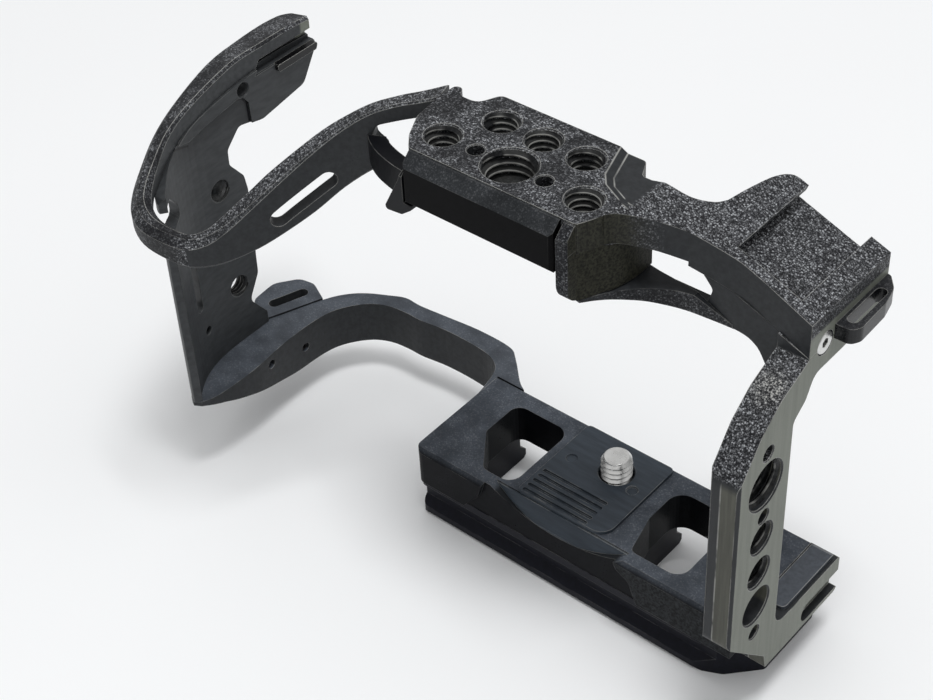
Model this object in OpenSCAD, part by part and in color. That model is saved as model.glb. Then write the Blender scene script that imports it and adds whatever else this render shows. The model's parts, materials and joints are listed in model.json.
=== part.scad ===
// Camera cage: a machined frame that wraps a mirrorless camera, in millimetres.
// X runs from the grip to the side plate, Y to the rear, Z up. The origin is on
// the axis of the camera screw, in the plane of the pad that the camera rests on.
// The modules measure their heights from the top face of the base plate.

/* [Overall] */
// Height of the top face above the base plate
cage_h = 82.2; // [80:0.2:100]
// Distance from the camera screw to the inner face of the side plate
side_x = 39.6; // [38.5:0.1:48]
// Distance from the camera screw to the inner face of the grip wall
grip_x = 88; // [82:0.5:106]
// Slope of the shoulder that carries the cold shoe, in degrees
shoulder_tilt = 21.5; // [16:0.5:24]

/* [Base] */
// Distance from the camera screw to the left end of the base plate
base_left = 36.9; // [35.5:0.1:44]
// Distance from the camera screw to the front edge of the base plate
base_front = 18.4; // [17.6:0.1:22]
// Distance from the camera screw to the rear edge of the base plate
base_rear = 8.2; // [7.8:0.1:10]
// Thickness of the base plate
base_t = 9; // [7.5:0.1:11]
// Height of the arm that runs from the base to the grip wall
arm_h = 10.4; // [9:0.1:12]
// Thickness of the quick release foot
foot_t = 10; // [9:0.1:12]
// Depth of the clamping grooves along the foot
groove_d = 1.8; // [1:0.1:2]
// Radius of the scoop that clears the lens
scoop_r = 33.5; // [33:0.1:40]
// Depth of that scoop below the plate's top face
scoop_d = 4.2; // [3:0.1:5]
// Height of the seat pad above the plate
pad_rise = 0.8; // [0.4:0.05:1.1]
// Thickness of the seat pad
pad_t = 2; // [1.5:0.1:2.5]

/* [Frame] */
// Thickness of the side plate
side_t = 6.1; // [5:0.1:7.4]
// Thickness of the top plate
top_t = 6; // [5:0.1:7.2]
// Thickness of the shoulder slab under the cold shoe
slab_t = 6.4; // [5.6:0.1:7.7]
// Thickness of the front web under the shoulder
web_t = 3; // [2.5:0.1:3.6]
// Thickness of the wall behind the grip
wall_t = 3.6; // [3:0.1:4.4]
// Thickness of the front panel
panel_t = 2.7; // [2.2:0.1:3.2]
// Depth of the smooth facet in the top plate
facet_d = 0.8; // [0.5:0.1:1.2]
// Width of the chamfer round that facet
facet_border = 1.4; // [0.8:0.1:1.8]

/* [Cold shoe] */
// Width of the channel between the rails
shoe_w = 18.7; // [18.6:0.05:19]
// Width of the opening between the lips
shoe_gap = 13.4; // [12.5:0.1:13.6]
// Height of the channel under the lips
shoe_h = 2.1; // [2:0.05:2.3]
// Thickness of the lips
lip_t = 1.3; // [1.2:0.1:1.6]

/* [Holes] */
// Bore radius of the 1/4 inch threaded holes
quarter_r = 3.2; // [3:0.05:3.4]
// Bore radius of the 3/8 inch threaded holes
three_eighths_r = 4.8; // [4.6:0.05:5]
// Bore radius of the threaded holes in the grip wall
wall_hole_r = 2.4; // [2:0.05:2.8]
// Radius of the locating pin holes
pin_r = 1.5; // [1.3:0.05:1.6]
// Distance from each locating pin hole to the hole between them
pin_pitch = 7.3; // [7:0.1:8.8]
// Depth of the locating pin holes
pin_depth = 4; // [3:0.1:4.5]
// Radius of the plain socket low in the side plate
socket_r = 3.95; // [3.3:0.05:4.2]
// Width of the chamfer round every hole
hole_chamfer = 0.3; // [0.1:0.05:0.4]

/* [Camera screw] */
// Radius of the camera screw
screw_r = 3.175; // [2.6:0.005:3.8]
// Radial clearance of the camera screw in its bore
screw_clear = 0.08; // [0.04:0.01:0.1]
// Height of the screw's tip above the base plate
screw_tip = 5.2; // [4.3:0.1:6.3]
// Distance that the captive screw drops
screw_travel = 3.5; // [2.8:0.1:3.6]
// Radius of the screw's head
head_r = 4.6; // [4.3:0.1:4.7]
// Thickness of the screw's head
head_t = 3; // [2.4:0.1:3.3]

/* [Hidden] */

$fn = 72;
eps = 0.01;
// Tall enough to cut through the whole cage.
reach = 300;
body_colour = [0.13, 0.13, 0.14];
smooth_colour = [0.24, 0.25, 0.24];
steel_colour = [0.78, 0.78, 0.76];
dark_screw_colour = [0.08, 0.08, 0.09];

// The upper parts ride on this lift, and the right ones on this shift.
lift = cage_h - 82.2;
shift = side_x - 39.6;
outer_x = side_x + side_t;
top_bottom = cage_h - top_t;
hump_right = 12.4;
tilt_run = cos(shoulder_tilt);
// The shoulder's arm ends flush with the underside of the top plate.
shoulder_arm_t = top_t * tilt_run;
foot_bottom = -base_t - foot_t;
head_top = foot_bottom + 0.5 + screw_travel + head_t;
clip_t = 0.8;
clip_r = 4.4;
clip_top = -base_t + screw_travel + clip_t + 0.1;
neck_r = screw_r - 0.675;
shank_r = screw_r - 0.275;
relief_r = screw_r - 0.35;
seat_hole_r = screw_r + 0.4;
foot_screw_r = 1.25;
foot_screw_head_r = 2.3;
lug_screw_r = 2.3;
lug_screw_t = 3.2;
front_face_y = -25.7;
front_row_y = -19.4;
rear_row_y = -10.4;
top_centre_x = -8.2;
side_hole_y = -20.9;
side_top_hole_z = 41.8 + lift;
slab_plan_x = 22.8 + shift;

function unit(v) = v / norm(v);
function flip(p) = [for (i = [len(p) - 1:-1:0]) p[i]];
// One rounded corner: b is the corner, a and c its neighbours, r its radius.
function corner(a, b, c, r) =
    let (
        u = unit([a.x - b.x, a.y - b.y]),
        v = unit([c.x - b.x, c.y - b.y]),
        half = acos(max(-1, min(1, u * v))) / 2
    )
    r <= 0 || half > 89 ? [[b.x, b.y]] :
    let (
        d = r / tan(half),
        m = [b.x, b.y] + unit(u + v) * r / sin(half),
        p0 = [b.x, b.y] + u * d - m,
        p1 = [b.x, b.y] + v * d - m,
        a0 = atan2(p0.y, p0.x),
        turn = (atan2(p1.y, p1.x) - a0 + 540) % 360 - 180,
        n = max(3, ceil(abs(turn) * r / 40))
    )
    [for (i = [0:n]) m + r * [cos(a0 + turn * i / n), sin(a0 + turn * i / n)]];
// A polygon of [x, y, radius] corners with every corner rounded.
function rounded(p) = [
    for (i = [0:len(p) - 1])
        each corner(p[(i + len(p) - 1) % len(p)], p[i], p[(i + 1) % len(p)], p[i].z)
];
// A smooth curve through the points p, with n steps between neighbours.
function spline(p, n = 5) = concat(
    [
        for (i = [0:len(p) - 2])
            let (
                a = p[max(i - 1, 0)],
                b = p[i],
                c = p[i + 1],
                d = p[min(i + 2, len(p) - 1)]
            )
            for (k = [0:n - 1])
                let (t = k / n)
                (2 * b + (c - a) * t + (2 * a - 5 * b + 4 * c - d) * t * t
                    + (3 * b - a - 3 * c + d) * t * t * t) / 2
    ],
    [p[len(p) - 1]]
);
// The curve p moved sideways by w, to its left when w is positive.
function beside(p, w) = [
    for (i = [0:len(p) - 1])
        let (d = unit(p[min(i + 1, len(p) - 1)] - p[max(i - 1, 0)]))
        p[i] + w * [-d.y, d.x]
];
// The closed band between two curves.
function band(a, b) = concat(a, flip(b));
// Points moved up with the top of the cage.
function raised(p) = [for (q = p) [q.x, q.y + lift]];
// Left-hand points spread with the reach of the grip.
function spread(x) = -36.9 + (x + 36.9) * (grip_x - 36.9) / (88 - 36.9);
function spread_all(p) = [for (q = p) [spread(q.x), q.y]];

// A profile in the YZ plane run along X, and one in the XZ plane run along Y.
module along_x(x0, length) {
    translate([x0, 0, 0]) rotate([90, 0, 90]) linear_extrude(length) children();
}
module along_y(y0, length) {
    translate([0, y0 + length, 0]) rotate([90, 0, 0]) linear_extrude(length) children();
}
module upright(z0, height) {
    translate([0, 0, z0]) linear_extrude(height) children();
}
// A hole that opens upwards at z = 0, with a chamfer at its mouth.
module drilled(r, depth, chamfer = hole_chamfer) {
    rotate_extrude() polygon([
        [0, -depth], [r, -depth], [r, -chamfer], [r + chamfer, 0],
        [r + chamfer, 1], [0, 1]
    ]);
}
// The same hole through a plate of thickness t, chamfered on both faces.
module through(r, t, chamfer = hole_chamfer) {
    rotate_extrude() polygon([
        [0, -t - 1], [r + chamfer, -t - 1], [r + chamfer, -t], [r, -t + chamfer],
        [r, -chamfer], [r + chamfer, 0], [r + chamfer, 1], [0, 1]
    ]);
}
// A round-ended slot between two points.
module slot_2d(a, b, r) {
    d = unit(b - a);
    n = [-d.y, d.x];
    translate(a) circle(r);
    translate(b) circle(r);
    polygon([a + n * r, a - n * r, b - n * r, b + n * r]);
}
// Puts the origin on the face of the seat pad.
module seated() {
    translate([0, 0, -pad_rise]) children();
}
// The frame of the sloped shoulder: x along the slope, z square to it.
module on_shoulder() {
    translate([hump_right, 0, cage_h]) rotate([0, shoulder_tilt, 0]) children();
}
function along_shoulder(x) = (x - hump_right) / tilt_run;
// The frame of the screw that holds the right strap lug: z points out of the side plate.
module at_lug_screw() {
    translate([outer_x - lug_screw_t, -6, 62.5 + lift]) rotate([0, 90, 0]) children();
}

// ---- Base ----

base_outline = rounded([
    [-base_left, -base_front, 2], [side_x, -base_front, 0],
    [side_x, base_rear, 0], [-base_left, base_rear, 0]
]);

// The two weight-saving windows, each with one corner cut on a slant.
module window_left() {
    polygon(rounded([
        [-22, -14.6, 1.5], [-14.7, -14.6, 3], [-14.7, 4, 3], [-28.3, 4, 2.5], [-28.3, -6, 1.5]
    ]));
}
module window_right() {
    polygon(rounded([
        [14.2, -14.6, 1.2], [25.7, -14.6, 3], [25.7, 4, 3], [12, 4, 3.5], [12, -5.6, 1]
    ]));
}
// The foot's bays lie under the windows and open to the rear.
module foot_bay(x0, x1) {
    polygon(rounded([
        [x0, -13.6, 2], [x1, -13.6, 2], [x1, base_rear + 5, 0], [x0, base_rear + 5, 0]
    ]));
}
module pad_outline(grow) {
    polygon(rounded([
        [-12.6 - grow, -15.3, 0.6], [8.6 + grow, -15.3, 3.2],
        [8.6 + grow, 7.5 + grow, 1], [-12.6 - grow, 7.5 + grow, 1]
    ]));
}
foot_screws = [[-33.8, -12], [33.6, -13], [-33.8, 3.4], [37.6, 3.6]];

module base_plate() color(body_colour) difference() {
    intersection() {
        upright(-base_t, base_t) polygon(base_outline);
        along_x(-base_left - 1, side_x + base_left + 2) polygon([
            [-base_front, -base_t], [-base_front, -0.9], [-base_front + 0.9, 0],
            [base_rear - 0.5, 0], [base_rear, -0.5], [base_rear, -base_t]
        ]);
    }
    upright(-base_t - 1, base_t + 2) window_left();
    upright(-base_t - 1, base_t + 2) window_right();
    // The scoop in the front edge lets a wide lens through.
    translate([-1.75, -base_front - 1, scoop_r - scoop_d]) rotate([-90, 0, 0])
        cylinder(r = scoop_r, h = base_front - 15.3 + 1);
    // The front face is set back below the scoop.
    along_y(-base_front - 1, 2) polygon(rounded([
        [-24.4, -base_t - 1, 0], [-24.4, -base_t, 0], [-20.6, -4.4, 2], [-19, 1, 0],
        [12, 1, 0], [13.4, -2.4, 2], [16.4, -4, 2], [18.2, -base_t, 0], [18.2, -base_t - 1, 0]
    ]));
    upright(pad_rise - pad_t, pad_t) pad_outline(0);
    translate([0, 0, -base_t - 1]) cylinder(r = screw_r + screw_clear, h = base_t + 2);
    translate([0, 0, -base_t - 1]) cylinder(r = clip_r + 0.4, h = clip_top + 0.1 + base_t + 1);
    for (p = foot_screws)
        translate([p.x, p.y, -base_t - 1]) cylinder(r = foot_screw_r + 0.02, h = 5.5);
}

// ---- Quick release foot ----

module foot_countersink(r, head, clear) {
    rotate_extrude() polygon([
        [0, foot_bottom - eps], [head + clear, foot_bottom - eps],
        [head + clear, foot_bottom + 0.3], [r + clear, foot_bottom + 0.3 + head - r],
        [r + clear, 1 - base_t], [0, 1 - base_t]
    ]);
}
module quick_release_foot() color(body_colour) difference() {
    intersection() {
        upright(foot_bottom, foot_t) polygon(rounded([
            [-base_left, -17.5, 1.5], [31.2 + shift, -17.5, 3],
            [36.4 + shift, -15.1, 3], [side_x + 2.3, -9.2, 1.5],
            [side_x + 2.3, base_rear, 1.2], [-base_left, base_rear, 1.2]
        ]));
        along_x(-base_left - 1, side_x + base_left + 5) polygon([
            [-17.5, -base_t], [-17.5, -base_t - 1.8],
            [-17.5 + groove_d, -base_t - 3.6], [-17.5 + groove_d, foot_bottom + 4],
            [-17.5, foot_bottom + 2.2], [-17.5, foot_bottom + 0.7],
            [-16.8, foot_bottom], [base_rear - 0.7, foot_bottom],
            [base_rear, foot_bottom + 0.7], [base_rear, foot_bottom + 2.2],
            [base_rear - groove_d, foot_bottom + 4], [base_rear - groove_d, -base_t - 3.6],
            [base_rear, -base_t - 1.8], [base_rear, -base_t]
        ]);
    }
    upright(foot_bottom - 1, foot_t + 2) foot_bay(-30, -13);
    upright(foot_bottom - 1, foot_t + 2) foot_bay(10.4, 27.4);
    translate([0, 0, foot_bottom - 1]) cylinder(r = head_r + 0.3, h = head_top + 0.1 - foot_bottom + 1);
    translate([0, 0, foot_bottom - 1]) cylinder(r = shank_r + 0.3, h = foot_t + 2);
    for (p = foot_screws)
        translate([p.x, p.y, 0]) foot_countersink(foot_screw_r, foot_screw_head_r, 0.05);
    // Tripod holes that open downwards.
    translate([33 + shift, -4.6, foot_bottom]) mirror([0, 0, 1])
        drilled(three_eighths_r, foot_t - 2);
    translate([-7.9, -10.6, foot_bottom]) mirror([0, 0, 1]) drilled(quarter_r, foot_t - 2);
}
// A countersunk screw with a hexagon socket, driven up through the foot.
module foot_screw(p) {
    color(dark_screw_colour) translate([p.x, p.y, 0]) difference() {
        rotate_extrude() polygon([
            [0, foot_bottom + 0.2], [foot_screw_head_r, foot_bottom + 0.2],
            [foot_screw_head_r, foot_bottom + 0.35],
            [foot_screw_r, foot_bottom + 0.35 + foot_screw_head_r - foot_screw_r],
            [foot_screw_r, 4 - base_t], [foot_screw_r - 0.4, 4.4 - base_t], [0, 4.4 - base_t]
        ]);
        translate([0, 0, foot_bottom - 1]) cylinder(r = 0.9, h = 2.2, $fn = 6);
    }
}
module foot_screw_front_left() { foot_screw(foot_screws[0]); }
module foot_screw_front_right() { foot_screw(foot_screws[1] + [shift, 0]); }
module foot_screw_rear_left() { foot_screw(foot_screws[2]); }
module foot_screw_rear_right() { foot_screw(foot_screws[3] + [shift, 0]); }

// ---- Seat pad and camera screw ----

module seat_pad() color([0.17, 0.17, 0.16]) difference() {
    upright(pad_rise - pad_t, pad_t) pad_outline(0);
    // Grip grooves across the front of the pad.
    for (i = [0:4])
        translate([0, -8.2 - 1.6 * i, pad_rise - 0.5]) upright(0, 1)
            slot_2d([-11.4, 0], [3.4, 0], 0.4);
    // Shallow dimples beside the screw.
    for (x = [-9.4, 4.6 + screw_r / 4])
        translate([x, -2.2, pad_rise]) drilled(1.1, 0.35, 0.15);
    translate([0, 0, pad_rise]) through(seat_hole_r, pad_t, 0.2);
}
module camera_screw() color(steel_colour) difference() {
    rotate_extrude() polygon([
        [0, head_top - head_t], [head_r - 0.4, head_top - head_t],
        [head_r, head_top - head_t + 0.4], [head_r, head_top - 0.3],
        [head_r - 0.3, head_top], [shank_r, head_top],
        [shank_r, clip_top - clip_t - 0.05], [neck_r, clip_top - clip_t - 0.05],
        [neck_r, clip_top + 0.05], [screw_r, clip_top + 0.05],
        [screw_r, -0.7], [relief_r, -0.35], [relief_r, pad_rise - 0.05], [screw_r, pad_rise],
        [screw_r, screw_tip - 0.6], [screw_r - 0.6, screw_tip], [0, screw_tip]
    ]);
    translate([-head_r - 1, -0.7, head_top - head_t - 1]) cube([2 * head_r + 2, 1.4, 2.5]);
}
module screw_retainer() color([0.35, 0.35, 0.36]) difference() {
    translate([0, 0, clip_top - clip_t]) cylinder(r = clip_r, h = clip_t);
    translate([0, 0, clip_top - clip_t - 1]) cylinder(r = neck_r + 0.05, h = clip_t + 2);
    // The mouth that lets the clip snap over the neck.
    upright(clip_top - clip_t - 1, clip_t + 2) polygon([
        [0, 0], [-neck_r * 0.8, neck_r + 0.6], [-neck_r * 0.55, clip_r + 1],
        [neck_r * 0.55, clip_r + 1], [neck_r * 0.8, neck_r + 0.6]
    ]);
}

// ---- Side plate ----

side_profile = concat(
    rounded([
        [-15.9, -base_t, 0], [base_rear, -base_t, 1.2], [base_rear, 0, 0.5],
        [-13.9, 0, 3.6], [-13.9, 50.8 + lift, 2], [-10.6, 53.2 + lift, 3],
        [-8.4, 57.4 + lift, 2.5], [12.9, 57.4 + lift, 1.5], [12.9, 80 + lift, 0],
        [-10.7, 80 + lift, 0], [-10.7, 61.8 + lift, 0.5], [-18.2, 58.6 + lift, 6],
        [-23.2, 54.6 + lift, 4], [-29, 46.8 + lift, 4], [-29, 7.6, 3],
        [-16.6, -5.4, 1.2]
    ])
);

module side_plate() color(smooth_colour) difference() {
    intersection() {
        along_x(side_x, side_t) polygon(side_profile);
        upright(-base_t - 1, reach) polygon([
            [side_x, -28], [side_x + 0.7, -29], [outer_x - 0.6, -29.1],
            [outer_x, -28.4], [outer_x, 30], [side_x, 30]
        ]);
        // The shoulder slab lies on the sloped top.
        on_shoulder() translate([-50, -50, -slab_t - 200]) cube([200, 100, 200]);
    }
    translate([outer_x, side_hole_y, side_top_hole_z]) rotate([0, 90, 0])
        through(three_eighths_r, side_t);
    for (dz = [-pin_pitch, pin_pitch])
        translate([outer_x, side_hole_y, side_top_hole_z + dz]) rotate([0, 90, 0])
            drilled(pin_r, pin_depth, 0.2);
    for (z = [29.3, 20.7])
        translate([outer_x, side_hole_y, z]) rotate([0, 90, 0]) through(quarter_r, side_t);
    translate([outer_x, side_hole_y, 12.1]) rotate([0, 90, 0]) through(socket_r, side_t);
    translate([outer_x, side_hole_y, 5.2]) rotate([0, 90, 0]) drilled(pin_r, pin_depth, 0.2);
    // Long recess in the end of the base.
    along_x(outer_x - 1.6, 3) slot_2d([-2, -5.9], [base_rear + 3, -5.9], 2.3);
    at_lug_screw() cylinder(r = lug_screw_r + 0.05, h = 5);
}
module end_pad() color([0.34, 0.35, 0.34]) intersection() {
    upright(0, 0.8) polygon(rounded([
        [side_x + 0.7, -9.6, 1], [outer_x - 0.8, -9.6, 1],
        [outer_x - 0.8, base_rear - 0.6, 0.6], [side_x + 0.7, base_rear - 0.6, 0.6]
    ]));
    along_x(side_x, side_t) polygon([
        [-11, -1], [-11, 0.4], [-10.4, 0.8], [base_rear - 1.4, 0.8],
        [base_rear - 0.5, 0.2], [base_rear - 0.5, -1]
    ]);
}

// ---- Shoulder ----

// Plan of the shoulder from the hump to the shoe.
shoulder_front = spline([
    [hump_right, -21], [13.4, -19.2], [15.6, -17], [18.6 + shift / 2, -14.6],
    [slab_plan_x, -12.1]
]);
shoulder_rear = spline([
    [slab_plan_x, -1.4], [21.6 + shift / 2, -3.7], [18.8 + shift / 2, -6],
    [14.9, -7.1], [hump_right, -8]
]);
shoe_front = spline([
    [slab_plan_x, -12.1], [29.8 + shift, -10.3], [34.5 + shift, -10],
    [outer_x, -10.7]
]);
shoe_rear = spline([
    [29.5 + shift, 13], [26.6 + shift, 12.7], [24.8 + shift, 9.8],
    [23.6 + shift, 4.2], [slab_plan_x, -1.4]
]);
// Slab between two depths below the sloped face.
module sloped_slab(depth) {
    on_shoulder() translate([-20, -50, -depth]) cube([100, 100, depth]);
}
// The smooth facet that runs from the top plate on to the shoulder, with its floor's edge
// and the chamfer that rises from it.
facet_edge = [[4.2, -2], [4.9, -4.6], [7.1, -11.3], [8.6, -13.1], [13.2, -15.4], [20, -15.4]];

module facet_cut() {
    intersection() {
        translate([0, -20, cage_h - facet_d]) cube([20, 18, 5]);
        intersection_for (i = [0:len(facet_edge) - 2]) {
            a = facet_edge[i];
            b = facet_edge[i + 1];
            translate([a.x, a.y, cage_h - facet_d])
                rotate([0, 0, atan2(b.y - a.y, b.x - a.x)])
                rotate([-atan(facet_d / facet_border), 0, 0])
                translate([-50, -50, 0]) cube([100, 100, 50]);
        }
    }
}
module shoulder_arm() color(body_colour) difference() {
    intersection() {
        upright(40 + lift, 60) polygon(concat(shoulder_front, shoulder_rear));
        sloped_slab(shoulder_arm_t);
    }
    facet_cut();
}
module cold_shoe() color(smooth_colour) difference() {
    intersection() {
        upright(40 + lift, 60) polygon(concat(shoe_front, [[outer_x, 13]], shoe_rear));
        sloped_slab(slab_t);
    }
    on_shoulder() {
        s0 = along_shoulder(outer_x) - 1.5 - shoe_w;
        translate([s0, -7.8, -lip_t - shoe_h]) cube([shoe_w, 40, shoe_h]);
        translate([s0 + (shoe_w - shoe_gap) / 2, -7.8, -lip_t - shoe_h])
            cube([shoe_gap, 40, lip_t + shoe_h + 1]);
    }
    at_lug_screw() cylinder(r = lug_screw_r + 0.05, h = 5);
}
module shoulder_web() color(smooth_colour) difference() {
    intersection() {
        along_y(-7.2 - web_t, web_t) polygon(concat(
            raised(spline([
                [10.4, 57.6], [15, 58.9], [20.7, 60], [30.9 + shift, 60.7],
                [35.1 + shift, 59.6], [37.4 + shift, 56.4], [side_x, 52]
            ])),
            raised([[side_x, 90], [10.4, 90]])
        ));
        difference() {
            on_shoulder() translate([-50, -50, -200 - shoulder_arm_t]) cube([200, 100, 200]);
            translate([0, -50, top_bottom]) cube([hump_right, 100, 50]);
            sloped_slab_under_shoe();
        }
    }
    along_y(-7.2 - web_t - 1, web_t + 2) polygon(raised(rounded([
        [11.4, 72.3, 0.8], [21.8, 72.3, 2], [26.6, 66.8, 1.2], [25.2, 62.6, 1.5], [11.4, 62.4, 1]
    ])));
}
// The deeper part of the slab under the shoe.
module sloped_slab_under_shoe() {
    intersection() {
        sloped_slab(slab_t);
        translate([slab_plan_x, -50, 0]) cube([100, 100, 200]);
    }
}
// A lip along the foot of the web that runs forward to the hump block.
module shoulder_ledge() color(smooth_colour) intersection() {
    upright(50 + lift, 30) polygon(concat(
        spline([
            [10.6, -25.2], [13.2, -20.2], [16, -16.2], [19, -13.6], [22.5, -11.8],
            [27, -10.8], [31, -10.2]
        ]),
        [[31, -7.2 - web_t], [14, -7.2 - web_t], [9.4, -18], [7.2, -25.2]]
    ));
    along_y(-40, 40) polygon(raised(concat(
        spline([[6, 66.2], [10.6, 65.9], [16, 63.2], [22, 61.5], [31.5, 60.6]]),
        [[31.5, 61], [27, 63.2], [23.7, 65], [16, 65.7], [12, 66.4], [6, 66.4]]
    )));
}

// ---- Right strap lug ----

module right_strap_lug() color(body_colour) upright(61.8 + lift, 3) difference() {
    polygon(rounded([
        [outer_x, -3.4, 0], [outer_x + 3, -3.4, 1.6], [outer_x + 4, -1.6, 2],
        [outer_x + 3.8, 6, 3], [outer_x + 2.9, 10, 3], [outer_x + 0.8, 12.6, 1], [outer_x, 12.8, 0]
    ]));
    slot_2d([outer_x + 1.7, -0.6], [outer_x + 1.7, 8], 1);
}
module lug_screw() color(steel_colour) at_lug_screw() difference() {
    rotate_extrude() polygon([
        [0, 0], [lug_screw_r, 0], [lug_screw_r, lug_screw_t - 0.3],
        [lug_screw_r - 0.3, lug_screw_t], [0, lug_screw_t]
    ]);
    translate([0, 0, 1.4]) cylinder(r = 0.95, h = lug_screw_t, $fn = 6);
}

// ---- Top plate ----

top_outline = rounded([
    [-30.8, -6.6, 1], [-29.2, -6.6, 1], [-28, -8.6, 1.5], [-24.3, -8.6, 2.5],
    [-22.3, -4.3, 1.5], [8.6, -4.3, 1], [10.4, -8, 1], [hump_right, -8, 0],
    [hump_right, -21.4, 2], [10.4, front_face_y, 1], [-25, front_face_y, 1.5],
    [-27.4, -22.8, 3], [-29.9, -18, 4], [-30.8, -12, 4]
]);

module top_plate() color(body_colour) difference() {
    upright(top_bottom, top_t) polygon(top_outline);
    facet_cut();
    translate([top_centre_x, front_row_y, cage_h]) through(three_eighths_r, top_t);
    for (dx = [-pin_pitch, pin_pitch])
        translate([top_centre_x + dx, front_row_y, cage_h]) drilled(pin_r, pin_depth, 0.2);
    for (x = [-22.7, 7.3])
        translate([x, front_row_y, cage_h]) through(quarter_r, top_t);
    for (i = [-1:1])
        translate([top_centre_x + 9 * i, rear_row_y, cage_h]) through(quarter_r, top_t);
}
// The plain panel across the front of the hump.
module front_panel() color(body_colour) intersection() {
    along_x(-24.6, 32) polygon([
        [front_face_y - panel_t, top_bottom - 3.2], [front_face_y - panel_t + 0.6, top_bottom - 3.8],
        [front_face_y, top_bottom - 3.8], [front_face_y, cage_h - 0.2],
        [front_face_y - 0.4, cage_h - 0.2], [front_face_y - panel_t, cage_h - 2.4]
    ]);
    upright(top_bottom - 10, 30) polygon([
        [-24.6, front_face_y], [-24.6, front_face_y - panel_t + 0.6],
        [-24, front_face_y - panel_t], [6.8, front_face_y - panel_t],
        [7.4, front_face_y - panel_t + 0.6], [7.4, front_face_y]
    ]);
}
// The slanted foot at the panel's left end.
module panel_foot() color(body_colour) difference() {
    intersection() {
        along_y(-28.4, 5) polygon(raised(rounded([
            [-24.6, 80.4, 0], [-25.4, 77, 3], [-28.9, 70.2, 0.8], [-28.7, 69.4, 0.5],
            [-25.1, 69.8, 1], [-22.8, 71.6, 0.5], [-22.8, 72.4, 0], [-24.6, 72.4, 0]
        ])));
        along_x(-30, 10) polygon([
            [-28.4, cage_h - 14], [-23.4, cage_h - 14], [-23.4, cage_h - 1.8],
            [-25.4, cage_h - 1.8], [-28.4, cage_h - 4.4]
        ]);
    }
    upright(top_bottom, reach) polygon(top_outline);
}
// The block that closes the right side of the hump, from the panel to the shoulder's web.
hump_curve = spline([
    [10.4, front_face_y], [11.5, -23.3], [hump_right, -21.2], [13.4, -19.2], [14.3, -15], [14.3, -10.2]
]);

module hump_block() color([0.22, 0.22, 0.18]) difference() {
    intersection() {
        upright(60 + lift, 40) polygon(concat(
            [[8.2, -24.6], [8.2, -28.3], [10, -28.3], [10.4, -27.9]],
            hump_curve,
            [[10.3, -10.2], [10.3, -15], [8.8, -20]]
        ));
        along_x(0, 20) polygon(concat(
            rounded([[-10.2, 66.5 + lift, 0], [-28.3, 66.5 + lift, 4], [-28.3, cage_h - 2.4, 0]]),
            [
                [-26.1, cage_h - 0.2], [front_face_y, cage_h - 0.2],
                [front_face_y, top_bottom], [-10.2, top_bottom]
            ]
        ));
    }
    // The shoulder lies on the block.
    on_shoulder() translate([0, -50, -shoulder_arm_t]) cube([100, 100, 50]);
}

// ---- Grip arm, band and wall ----

// Stations along the lens side of the arm and round the outside of the band:
// [x, y, top at that side, top at the far side, bottom, top width, web width, bevel].
grip_line = spline([
    [-30.8, -11.2, 82.1, 82.1, 69.8, 4.6, 3, 0.4],
    [-34.6, -12.4, 80.4, 80.6, 68.9, 3.8, 3, 0.4],
    [-38.5, -13.8, 78.9, 79.1, 67.2, 3.4, 3, 0.4],
    [-43.2, -16.1, 76.5, 76.7, 64.2, 3.4, 3, 0.4],
    [-47.5, -19.5, 73, 73.3, 60.3, 3.4, 3, 0.4],
    [-51, -24, 69, 69.3, 56, 3.9, 3, 0.4],
    [-54.5, -29.1, 64.4, 64.7, 52.4, 4.4, 3, 0.5],
    [-57, -33.6, 60.8, 60.9, 50.3, 4.4, 3.1, 0.6],
    [-59.6, -38.6, 57.3, 57.5, 48.9, 4.2, 3.4, 0.9],
    [-61.9, -42, 55.4, 55.6, 48.3, 4, 3.7, 1.2],
    [-65, -44.6, 54.7, 55, 48.1, 3.9, 3.9, 1.4],
    [-70, -45.6, 54.6, 55, 48.2, 3.9, 3.9, 1.4],
    [-76, -45.5, 54.6, 55, 48.6, 4.2, 4.2, 1.4],
    [-81, -43.4, 54.6, 55.1, 49.4, 4.2, 4.2, 1.4],
    [-84.9, -39.6, 55, 55.4, 50.6, 3.8, 3.8, 1.2],
    [-88, -34.4, 56.4, 57, 52.6, 3.6, 3.6, 0.9],
    [-90.4, -28, 59.4, 60.4, 56, 3.8, 3.8, 0.7],
    [-92.4, -20.4, 61.7, 63.1, 58.8, 4.9, 4.9, 0.6],
    [-94.8, -9, 63.8, 65.7, 60.8, 6.8, 6.8, 0.6],
    [-95.8, 0, 64.1, 66, 61.4, 7.8, 7.8, 0.6],
    [-96.2, 8, 64.1, 66, 61.3, 8.2, 8.2, 0.6],
    [-95.8, 14.2, 63.8, 65.6, 61, 7.8, 7.8, 0.6]
], 4);
// The stations where the band begins and where the wall begins under it.
grip_split = 40;
wall_from = 58;
function heading(i) = let (
    a = grip_line[max(i - 1, 0)],
    b = grip_line[min(i + 1, len(grip_line) - 1)]
) unit([spread(b[0]) - spread(a[0]), b[1] - a[1]]);
// The cross-section of the ribbon at one station, as a ring of points.
function ring(i) = let (
    q = grip_line[i],
    d = heading(i),
    c = q[7],
    // The edge that meets the wall stays sharp.
    f = i > wall_from ? 0.05 : c,
    side = [
        [0, q[4] + c], [0, q[2] - c], [c, q[2]], [q[5] - c, q[3]], [q[5], q[3] - c],
        [q[5], q[3] - 2.3], [q[6], q[3] - 3], [q[6], q[4] + f], [q[6] - f, q[4]], [c, q[4]]
    ]
) [for (e = side) [spread(q[0]) + d.y * e[0], q[1] - d.x * e[0], e[1] + lift]];
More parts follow.
